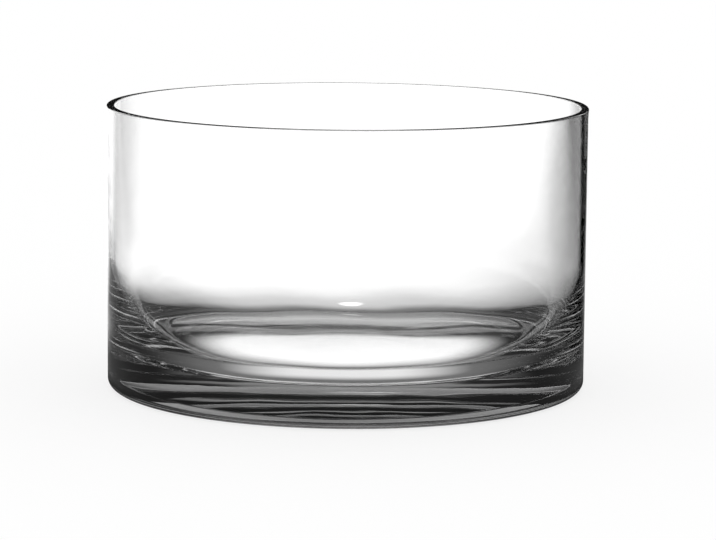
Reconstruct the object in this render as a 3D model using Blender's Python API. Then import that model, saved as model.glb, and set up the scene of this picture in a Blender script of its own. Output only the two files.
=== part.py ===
"""Clear glass salad bowl: a straight-sided cylinder blown in one piece over a heavy solid base.

Metres, +Z up. The origin is the middle of the plane that the bowl stands on.
"""

import math

import bmesh
import bpy

# Overall size
OUTER_DIAMETER = 0.216
HEIGHT = 0.127

# Wall and rim
WALL = 0.0034             # even thickness of the upper wall
SWELL_TOP = 0.0605        # height below which the wall thickens inwards
SWELL_POWER = 3.0         # the thickening is slow at first and quick towards the fillet
WALL_LEAN = 25.6          # degrees from the vertical, where the thickened wall meets the fillet
RIM_ROUND = 0.0013        # fire-polished edge, both sides of the rim
RIM_BEAD = 0.0002         # how far the polished rim swells past the outer wall
BEAD_LENGTH = 0.004       # height over which that swelling fades

# Base
FLOOR_HEIGHT = 0.0157     # flat floor, above the plane that the bowl stands on
FILLET = 0.0194           # inside corner between floor and wall
FOOT_ROUND = 0.0036       # outside corner between wall and underside
PUNT_RADIUS = 0.0734      # hollow of the underside, inside the flat ring that the bowl stands on
PUNT_DEPTH = 0.0027
PUNT_POWER = 2.5          # the hollow is flat in the middle and steepens towards its edge

# Facets
TURN_STEPS = 96
CORNER_STEPS = 6
FILLET_STEPS = 10
SWELL_STEPS = 8
PUNT_STEPS = 12

GLASS_COLOUR = (0.96, 0.97, 0.97, 1.0)
GLASS_ROUGHNESS = 0.02
GLASS_INDEX = 1.5


def clear_scene():
    for item in list(bpy.data.objects):
        bpy.data.objects.remove(item, do_unlink=True)


def arc(centre_r, centre_z, radius, start, end, steps):
    """Points of a circular arc from one angle to another, in degrees."""
    angles = [math.radians(start + (end - start) * i / steps) for i in range(steps + 1)]
    return [(centre_r + radius * math.cos(a), centre_z + radius * math.sin(a)) for a in angles]


def punt():
    """Points of the hollow under the base, from its edge in to its middle."""
    shares = [1 - i / PUNT_STEPS for i in range(PUNT_STEPS + 1)]
    return [(PUNT_RADIUS * s, PUNT_DEPTH * (1 - s ** PUNT_POWER)) for s in shares]


def inside_corner(inner):
    """Points of the fillet from the floor up, then of the thickened wall up to its even part."""
    lean = math.radians(WALL_LEAN)
    foot_z = FLOOR_HEIGHT + FILLET * (1 - math.sin(lean))
    swell = math.tan(lean) * (SWELL_TOP - foot_z) / SWELL_POWER
    centre_r = inner - swell - FILLET * math.cos(lean)

    points = arc(centre_r, FLOOR_HEIGHT + FILLET, FILLET, -90, -WALL_LEAN, FILLET_STEPS)
    for i in range(1, SWELL_STEPS + 1):
        share = 1 - i / SWELL_STEPS
        points.append((inner - swell * share ** SWELL_POWER, SWELL_TOP + (foot_z - SWELL_TOP) * share))
    return points


def bowl_profile():
    """Half section, from the middle of the floor up, over the rim, and under to the punt's middle."""
    outer = OUTER_DIAMETER / 2
    inner = outer - WALL
    bead = outer + RIM_BEAD
    rim_z = HEIGHT - RIM_ROUND

    points = [(0.0, FLOOR_HEIGHT)]
    points += inside_corner(inner)
    points += arc(inner + RIM_ROUND, rim_z, RIM_ROUND, 180, 90, CORNER_STEPS)
    points += arc(bead - RIM_ROUND, rim_z, RIM_ROUND, 90, 0, CORNER_STEPS)
    points.append((outer, rim_z - BEAD_LENGTH))
    points += arc(outer - FOOT_ROUND, FOOT_ROUND, FOOT_ROUND, 0, -90, CORNER_STEPS)
    points += punt()
    return points


def glass_material():
    material = bpy.data.materials.new("clear_glass")
    material.use_nodes = True
    shader = material.node_tree.nodes["Principled BSDF"]
    shader.inputs["Base Color"].default_value = GLASS_COLOUR
    shader.inputs["Roughness"].default_value = GLASS_ROUGHNESS
    shader.inputs["Metallic"].default_value = 0.0
    shader.inputs["IOR"].default_value = GLASS_INDEX
    shader.inputs["Transmission Weight"].default_value = 1.0
    return material


def glass_bowl():
    """The half section, turned once round the Z axis."""
    section = bmesh.new()
    verts = [section.verts.new((r, 0.0, z)) for r, z in bowl_profile()]
    for upper, lower in zip(verts, verts[1:]):
        section.edges.new((upper, lower))
    mesh = bpy.data.meshes.new("glass_bowl")
    section.to_mesh(mesh)
    section.free()
    mesh.materials.append(glass_material())

    bowl = bpy.data.objects.new("glass_bowl", mesh)
    bpy.context.scene.collection.objects.link(bowl)
    turn = bowl.modifiers.new("turn", "SCREW")
    turn.axis = "Z"
    turn.angle = 2 * math.pi
    turn.screw_offset = 0.0
    turn.steps = TURN_STEPS
    turn.render_steps = TURN_STEPS
    turn.use_smooth_shade = True
    turn.use_merge_vertices = True
    turn.merge_threshold = 0.00001
    return bowl


clear_scene()
glass_bowl()
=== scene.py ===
import math

import bmesh
import bpy
from mathutils import Matrix, Vector


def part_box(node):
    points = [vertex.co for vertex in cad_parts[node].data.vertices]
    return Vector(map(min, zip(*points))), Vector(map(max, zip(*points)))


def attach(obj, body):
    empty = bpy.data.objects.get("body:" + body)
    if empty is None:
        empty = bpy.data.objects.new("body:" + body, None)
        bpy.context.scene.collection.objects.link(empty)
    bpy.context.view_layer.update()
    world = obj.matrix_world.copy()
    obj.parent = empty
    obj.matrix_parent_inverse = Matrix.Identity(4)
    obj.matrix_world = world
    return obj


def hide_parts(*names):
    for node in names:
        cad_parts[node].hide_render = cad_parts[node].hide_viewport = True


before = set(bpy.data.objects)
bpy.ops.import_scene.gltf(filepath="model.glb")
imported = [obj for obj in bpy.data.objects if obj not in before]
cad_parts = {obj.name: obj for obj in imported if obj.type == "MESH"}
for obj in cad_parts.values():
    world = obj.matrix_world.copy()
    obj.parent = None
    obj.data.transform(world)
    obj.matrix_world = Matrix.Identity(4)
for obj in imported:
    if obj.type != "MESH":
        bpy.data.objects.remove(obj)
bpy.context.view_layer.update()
scene = bpy.context.scene
scene.view_settings.view_transform = "Standard"


# one wrapped socket: expressions on it add Math nodes, and add() makes any other node
class Wire:
    def __init__(self, tree, socket=None):
        self.tree = tree
        self.socket = socket

    def add(self, kind, settings=None, values=None, out=0):
        node = self.tree.nodes.new(kind)
        for name, value in (settings or {}).items():
            setattr(node, name, value)
        for key, value in (values or {}).items():
            if isinstance(value, Wire):
                self.tree.links.new(value.socket, node.inputs[key])
            else:
                node.inputs[key].default_value = value
        return Wire(self.tree, node.outputs[out] if node.outputs else None)

    def math(self, operation, a, b=0.0):
        return self.add("ShaderNodeMath", {"operation": operation}, {0: a, 1: b})

    # an eased change from one level to another, between two values of this socket
    def step(self, low, high, fromLevel=0.0, toLevel=1.0):
        return self.add("ShaderNodeMapRange", {"interpolation_type": "SMOOTHSTEP"}, {
            "Value": self,
            "From Min": low,
            "From Max": high,
            "To Min": fromLevel,
            "To Max": toLevel,
        })

    def __add__(self, other):
        return self.math("ADD", self, other)

    def __radd__(self, other):
        return self.math("ADD", other, self)

    def __sub__(self, other):
        return self.math("SUBTRACT", self, other)

    def __rsub__(self, other):
        return self.math("SUBTRACT", other, self)

    def __mul__(self, other):
        return self.math("MULTIPLY", self, other)

    def __rmul__(self, other):
        return self.math("MULTIPLY", other, self)


def emptyTree(tree):
    tree.nodes.clear()
    return Wire(tree)


# the camera, fitted to the rim and foot ellipses
camera = {
    "distance": 1.3731,    # metres in front of the bowl's axis
    "height": 0.2637,
    "turn": 0.0038,        # radians, to the right
    "tip": 0.1531,         # radians, downwards
    "roll": 0.0089,        # radians
    "lens": 154.14,        # millimetres on the sensor below
    "sensor": 36.0,
}


def makeCamera(spec):
    data = bpy.data.cameras.new("camera")
    data.sensor_width = spec["sensor"]
    data.lens = spec["lens"]
    obj = bpy.data.objects.new("camera", data)
    scene.collection.objects.link(obj)
    yaw, tip, roll = spec["turn"], spec["tip"], spec["roll"]
    forward = Vector((
        math.sin(yaw) * math.cos(tip),
        math.cos(yaw) * math.cos(tip),
        -math.sin(tip),
    ))
    right = Vector((math.cos(yaw), -math.sin(yaw), 0.0))
    up = right.cross(forward)
    across = right * math.cos(roll) + up * math.sin(roll)
    upright = up * math.cos(roll) - right * math.sin(roll)
    turn = Matrix((across, upright, -forward)).transposed().to_4x4()
    obj.matrix_world = Matrix.Translation((0.0, -spec["distance"], spec["height"])) @ turn
    scene.camera = obj
    print("camera set")


# the bowl's section, in metres
bowl = {
    "wall": 0.0034,
    "swellTop": 0.0605,      # below this height the wall thickens inwards
    "swellPower": 3.0,       # slowly at first, quickly towards the inside corner
    "lean": 25.6,            # degrees from the vertical where it meets that corner
    "floor": 0.0157,         # height of the floor above the table
    "innerRound": 0.0194,
    "rimRound": 0.0006,
    "rimBead": 0.0002,       # how far the rim stands out past the wall
    "beadLength": 0.0040,
    "footRound": 0.0036,
    "punt": 0.0049,          # hollow pushed up under the base
    "puntReach": 0.0734,
    "puntPower": 2.5,        # flat in its middle, steeper towards its edge
    "hold": 0.0002,          # kept straight next to each rounding
    "turns": 256,
    "swellSteps": 32,
    "innerSteps": 40,
    "roundSteps": 16,
    "puntSteps": 40,
    "merge": 0.000001,
    "wave": 0.00012,         # unevenness of blown glass, on the inside and in the hollow
    "lobes": ((3, 1.3, 80), (7, -2.1, 130), (12, 0.7, 210)),   # count, start, twist with height
    "waveSkin": 0.0015,      # depth of the outer skin, which stays true
    "waveMiddle": 0.06,      # it fades inside this radius
    "waveFoot": (0.00001, 0.002),   # heights below which there is none, and it fades
    "waveRim": (0.006, 0.03),       # none this far below the rim, and the length it fades over
}


def puntCurve(spec):
    # a shallow hollow, from its edge in to its middle
    shares = [i / spec["puntSteps"] for i in range(spec["puntSteps"], -1, -1)]
    return [(spec["puntReach"] * s, spec["punt"] * (1 - s ** spec["puntPower"])) for s in shares]


def swellCurve(spec, inner):
    # the inside corner's sharp point and its reach, then the thickened wall from there up
    lean = math.radians(spec["lean"])
    foot = spec["floor"] + spec["innerRound"] * (1 - math.sin(lean))
    rise = spec["swellTop"] - foot
    swell = math.tan(lean) * rise / spec["swellPower"]
    reach = spec["innerRound"] * math.tan(math.pi / 4 - lean / 2)
    corner = (inner - swell - reach * math.sin(lean), spec["floor"])
    shares = [1 - i / spec["swellSteps"] for i in range(spec["swellSteps"] + 1)]
    curve = [(inner - swell * s ** spec["swellPower"], spec["swellTop"] - rise * s) for s in shares]
    return corner, reach, curve


def holdCorner(before, corner, after, length):
    # the corner with a point on either side of it, so that the rounding leaves the flats flat
    middle = Vector(corner)
    sides = [middle + (Vector(other) - middle).normalized() * length for other in (before, after)]
    return [tuple(sides[0]), corner, tuple(sides[1])]


def roundCorner(bm, corner, size, steps):
    place = Vector((corner[0], 0.0, corner[1]))
    vert = min(bm.verts, key=lambda v: (v.co - place).length)
    bmesh.ops.bevel(bm, geom=[vert], offset=size, offset_type="OFFSET", affect="VERTICES",
                    segments=steps, profile=0.5, material=-1)


def waveGlass(bm, spec, outer, height):
    bm.normal_update()
    lobes = spec["lobes"]
    flat, foot = spec["waveFoot"]
    still, fadeLength = spec["waveRim"]
    for vert in bm.verts:
        x, y, z = vert.co
        radius = math.hypot(x, y)
        if radius > outer - spec["waveSkin"] or z < flat:
            continue
        angle = math.atan2(y, x)
        swing = sum(
            math.sin(n * angle + start + twist * z) / len(lobes) for n, start, twist in lobes
        )
        fade = min(1.0, radius / spec["waveMiddle"]) ** 2
        fade *= min(1.0, z / foot)
        fade *= max(0.0, min(1.0, (height - still - z) / fadeLength))
        vert.co += vert.normal * spec["wave"] * swing * fade


def makeBowl(spec):
    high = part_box("glass_bowl")[1]
    rimOuter, height = high[0], high[2]
    outer = rimOuter - spec["rimBead"]
    inner = outer - spec["wall"]
    rimStart = height - spec["rimRound"] - spec["hold"]
    floorMiddle = (0.0, spec["floor"])
    floorCorner, reach, swell = swellCurve(spec, inner)
    rimInside, rimOutside = (inner, height), (rimOuter, height)
    beadFoot = (outer, height - spec["beadLength"])
    footCorner, ringEdge = (outer, 0.0), (spec["puntReach"], 0.0)
    # from the middle of the floor up, over the rim, down and under to the hollow's middle
    section = [floorMiddle]
    section += holdCorner(floorMiddle, floorCorner, swell[0], reach + spec["hold"]) + swell[1:]
    section += [(inner, rimStart), rimInside, rimOutside, (rimOuter, rimStart), beadFoot]
    section += holdCorner(beadFoot, footCorner, ringEdge, spec["footRound"] + spec["hold"])
    section += [(spec["puntReach"] + spec["hold"], 0.0)] + puntCurve(spec)
    bm = bmesh.new()
    verts = [bm.verts.new((r, 0.0, z)) for r, z in section]
    for upper, lower in zip(verts, verts[1:]):
        bm.edges.new((upper, lower))
    roundCorner(bm, floorCorner, reach, spec["innerSteps"])
    roundCorner(bm, rimInside, spec["rimRound"], spec["roundSteps"])
    roundCorner(bm, rimOutside, spec["rimRound"], spec["roundSteps"])
    roundCorner(bm, footCorner, spec["footRound"], spec["roundSteps"])
    bmesh.ops.spin(bm, geom=bm.verts[:] + bm.edges[:], axis=(0, 0, 1), cent=(0, 0, 0),
                   dvec=(0, 0, 0), angle=2 * math.pi, steps=spec["turns"],
                   use_merge=True, use_duplicate=False)
    bmesh.ops.remove_doubles(bm, verts=bm.verts[:], dist=spec["merge"])
    bmesh.ops.recalc_face_normals(bm, faces=bm.faces[:])
    waveGlass(bm, spec, outer, height)
    mesh = bpy.data.meshes.new("blownBowl")
    bm.to_mesh(mesh)
    bm.free()
    mesh.shade_smooth()
    obj = bpy.data.objects.new("blownBowl", mesh)
    scene.collection.objects.link(obj)
    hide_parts("glass_bowl")
    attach(obj, "root")
    print("bowl turned", len(mesh.polygons), "faces")
    return obj


glass = {
    "index": 1.5,
    "stretch": (1.0, 1.0, 3.0),    # streaks and ripple are drawn out round the bowl
    "cords": (0.985, 1.0),         # faint streaks in the melt
    "cordScale": 26.0,
    "cordDetail": 2.0,
    "cordEdges": (0.35, 0.65),
    "roughness": (0.0, 0.012),     # faint wear
    "wearScale": 240.0,
    "wearDetail": 3.0,
    "wearEdges": (0.45, 0.75),
    "ripple": 0.05,
    "rippleScale": 70.0,
    "rippleDetail": 1.0,
    "rippleDepth": 0.0004,
    "body": (0.0, 0.0, 0.0, 1.0),
    "density": 6.0,                # per metre, so only the long way through the base turns dark
}


def noise(tree, vector, scale, detail):
    values = {"Vector": vector, "Scale": scale, "Detail": detail}
    return tree.add("ShaderNodeTexNoise", None, values)


def makeGlass(spec):
    material = bpy.data.materials.new("clearGlass")
    material.use_nodes = True
    tree = emptyTree(material.node_tree)
    place = tree.add("ShaderNodeTexCoord", None, None, "Object")
    drawn = tree.add("ShaderNodeMapping", None, {"Vector": place, "Scale": spec["stretch"]})
    cords = noise(tree, drawn, spec["cordScale"], spec["cordDetail"])
    wear = noise(tree, place, spec["wearScale"], spec["wearDetail"])
    ripple = noise(tree, drawn, spec["rippleScale"], spec["rippleDetail"])
    bump = tree.add("ShaderNodeBump", None, {
        "Strength": spec["ripple"],
        "Distance": spec["rippleDepth"],
        "Height": ripple,
    })
    shader = tree.add("ShaderNodeBsdfPrincipled", None, {
        "Base Color": cords.step(*spec["cordEdges"], *spec["cords"]),
        "Roughness": wear.step(*spec["wearEdges"], *spec["roughness"]),
        "IOR": spec["index"],
        "Transmission Weight": 1.0,
        "Normal": bump,
    })
    body = tree.add("ShaderNodeVolumeAbsorption", None, {
        "Color": spec["body"],
        "Density": spec["density"],
    })
    tree.add("ShaderNodeOutputMaterial", None, {"Surface": shader, "Volume": body})
    print("glass mixed")
    return material


white = (1.0, 1.0, 1.0, 1.0)


def rayKinds(tree):
    # any ray that leaves the glass, and the ones that went straight out through it
    node = tree.add("ShaderNodeLightPath").socket.node
    kinds = {out.name: Wire(tree.tree, out) for out in node.outputs}
    through = kinds["Is Transmission Ray"]
    return tree.math("MAXIMUM", kinds["Is Glossy Ray"], through), through


def axes(tree, vector):
    node = tree.add("ShaderNodeSeparateXYZ", None, {0: vector}).socket.node
    return [Wire(tree.tree, node.outputs[name]) for name in "XYZ"]


def distance(tree, x, y):
    return tree.math("SQRT", x * x + y * y)


def turned(tree, x, y, degrees):
    # angle in degrees, either way round, from a bearing measured from +Y towards +X
    angle = math.radians(degrees)
    across = x * math.cos(angle) - y * math.sin(angle)
    along = x * math.sin(angle) + y * math.cos(angle)
    return tree.math("ABSOLUTE", tree.math("ARCTAN2", across, along)) * (180 / math.pi)


# the table: the camera sees it plain and pale, and the painted light and shade below show in the
# glass alone
floor = {
    "size": 80.0,
    "drop": 0.0003,
    "plain": (0.25, 0.25, 0.25, 1.0),
    "plainGlow": 0.75,
    "foot": (0.103, 0.109),         # radius where under the base turns into round it
    "spot": 1.55,                   # painted light that the bowl gathers under its middle
    "spotShift": 0.024,             # towards the front
    "spotWidth": 0.65,              # share by which distances across it count
    "spotReach": (0.0335, 0.051),
    "shade": (0.20, 0.01),          # painted shade under the rest of the base, at its front and elsewhere
    "shadeSpread": (30, 75),        # degrees, as every spread here
    "lip": 1.05,                    # painted light that comes in under the front of the foot
    "lipReach": (0.078, 0.094),
    "lipSpread": (12, 48),
    "contactShadow": 0.15,                # painted shadow where the table meets the foot
    "contactReach": (0.106, 0.124),
    "near": 0.68,                   # painted shade on the table close behind the bowl
    "far": 1.25,
    "farReach": (0.112, 0.21),
    "side": 0.13,                   # painted shade on the table beside the bowl
    "sideReach": (0.18, 0.60),
    "sideSpread": (16, 68),
    "left": 0.34,                   # painted grey shade on the table at the left
    "leftBearing": -51,
    "leftReach": (0.20, 0.30),
    "leftSpread": (9, 21),
    "right": 0.0,                   # painted dark shade on the table at the right
    "rightBearing": 40,
    "rightReach": (0.12, 0.20),
    "rightSpread": (28, 44),
    "rightEdge": (-0.008, 0.190),   # distances to the right over which it sets in
    "rightLean": 0.17,
    "ahead": (0.14, 0.98),          # painted shade on the table before the bowl, darker near and paler far
    "aheadReach": (0.11, 0.34),
    "aheadSpread": (42, 82),
    "glint": 1.2,                   # painted patch of light behind the bowl, where the bowl focuses light
    "glintPlace": (0.003, 0.131),
    "glintReach": (0.002, 0.008),
}


# painted pool of light under the middle of the base, painted shade round it and a painted lip of
# light at its front
def paintedUnder(tree, spec, x, y, radius, front):
    spot = distance(tree, x * spec["spotWidth"], y + spec["spotShift"])
    spot = spot.step(*spec["spotReach"], 1.0, 0.0)
    shade = front.step(*spec["shadeSpread"], *spec["shade"])
    lip = radius.step(*spec["lipReach"], 0.0, spec["lip"])
    lip = lip * front.step(*spec["lipSpread"], 1.0, 0.0)
    return tree.math("MAXIMUM", shade + (spec["spot"] - shade) * spot, lip)


def paintedRound(tree, spec, x, y, radius, front):
    # painted shade close round the bowl, behind and beside it, lifting to the far level
    behind = turned(tree, x, y, 0).step(*spec["sideSpread"], 1.0, 0.0)
    back = radius.step(*spec["farReach"], spec["near"], spec["far"])
    side = radius.step(*spec["sideReach"], spec["side"], spec["far"])
    level = back * behind + side * (1 - behind)
    # painted contact shadow round the foot
    level = level * radius.step(*spec["contactReach"], spec["contactShadow"], 1.0)
    # painted grey shade at the left and painted dark shade at the right
    left = turned(tree, x, y, spec["leftBearing"]).step(*spec["leftSpread"], 1 - spec["left"], 0.0)
    left = left * radius.step(*spec["leftReach"])
    right = turned(tree, x, y, spec["rightBearing"])
    right = right.step(*spec["rightSpread"], 1 - spec["right"], 0.0)
    right = (x - y * spec["rightLean"]).step(*spec["rightEdge"]) * right
    right = right * radius.step(*spec["rightReach"])
    level = level * (1 - left) * (1 - right)
    # painted shade before the bowl
    before = radius.step(*spec["aheadReach"], *spec["ahead"])
    level = level + (before - level) * front.step(*spec["aheadSpread"], 1.0, 0.0)
    # painted patch of light behind the bowl
    glintX, glintY = spec["glintPlace"]
    glint = distance(tree, x - glintX, y - glintY)
    return level + glint.step(*spec["glintReach"], spec["glint"], 0.0)


def makeFloor(spec):
    bm = bmesh.new()
    bmesh.ops.create_grid(bm, x_segments=1, y_segments=1, size=spec["size"] / 2)
    bmesh.ops.translate(bm, verts=bm.verts[:], vec=(0, 0, -spec["drop"]))
    mesh = bpy.data.meshes.new("floor")
    bm.to_mesh(mesh)
    bm.free()
    obj = bpy.data.objects.new("floor", mesh)
    scene.collection.objects.link(obj)
    material = bpy.data.materials.new("paleFloor")
    material.use_nodes = True
    tree = emptyTree(material.node_tree)
    x, y = axes(tree, tree.add("ShaderNodeTexCoord", None, None, "Object"))[:2]
    radius = distance(tree, x, y)
    front = turned(tree, x, y, 180)
    under = paintedUnder(tree, spec, x, y, radius, front)
    outside = paintedRound(tree, spec, x, y, radius, front)
    beyond = radius.step(*spec["foot"])
    # painted light and shade on the table, which only glass rays see
    seen = under * (1 - beyond) + outside * beyond
    lit = tree.add("ShaderNodeBsdfDiffuse", None, {"Color": spec["plain"]})
    glow = tree.add("ShaderNodeEmission", None, {"Color": white, "Strength": spec["plainGlow"]})
    plain = tree.add("ShaderNodeAddShader", None, {0: lit, 1: glow})
    inGlass = tree.add("ShaderNodeEmission", None, {"Color": white, "Strength": seen})
    both = tree.add("ShaderNodeMixShader", None, {0: rayKinds(tree)[0], 1: plain, 2: inGlass})
    tree.add("ShaderNodeOutputMaterial", None, {"Surface": both})
    material.cycles.emission_sampling = "NONE"
    mesh.materials.append(material)
    print("floor laid")


# the room: white to the camera and as a light, dark in the glass; heights are sines of a rise
room = {
    "sky": 0.01,
    "top": 0.28,                    # paler overhead
    "topRise": (0.64, 0.88),
    "glow": 0.8,                    # a lit strip low on the backdrop
    "glowFoot": (0.115, 0.140),
    "glowHead": (0.185, 0.228),
    "glowSpread": (7, 40),
    "horizon": 1.05,                # the white sweep where floor and backdrop meet
    "horizonRise": (0.030, 0.075),
    "gapBearing": 40,               # the dark screen hides it here
    "gapSpread": (15, 27),
    "bounces": 32,                  # enough for light to find its way out of the base
}


def makeWorld(spec):
    world = bpy.data.worlds.new("studio")
    scene.world = world
    world.use_nodes = True
    tree = emptyTree(world.node_tree)
    x, y, z = axes(tree, tree.add("ShaderNodeTexCoord", None, None, "Generated"))
    sky = z.step(*spec["topRise"], spec["sky"], spec["top"])
    strip = z.step(*spec["glowFoot"]) * z.step(*spec["glowHead"], 1.0, 0.0)
    glow = turned(tree, x, y, 0).step(*spec["glowSpread"], spec["glow"], 0.0) * strip
    gap = turned(tree, x, y, spec["gapBearing"]).step(*spec["gapSpread"])
    horizon = z.step(*spec["horizonRise"], spec["horizon"], 0.0) * gap
    # reflections see the sky alone, so that the ends of the rim stay black
    glassRay, through = rayKinds(tree)
    strength = 1 + (sky + (glow + horizon) * through - 1) * glassRay
    background = tree.add("ShaderNodeBackground", None, {"Color": white, "Strength": strength})
    tree.add("ShaderNodeOutputWorld", None, {"Surface": background})
    scene.cycles.max_bounces = spec["bounces"]
    scene.cycles.glossy_bounces = spec["bounces"]
    scene.cycles.transmission_bounces = spec["bounces"]
    print("world set")


makeCamera(camera)
bowlObject = makeBowl(bowl)
bowlObject.data.materials.append(makeGlass(glass))
makeFloor(floor)
makeWorld(room)
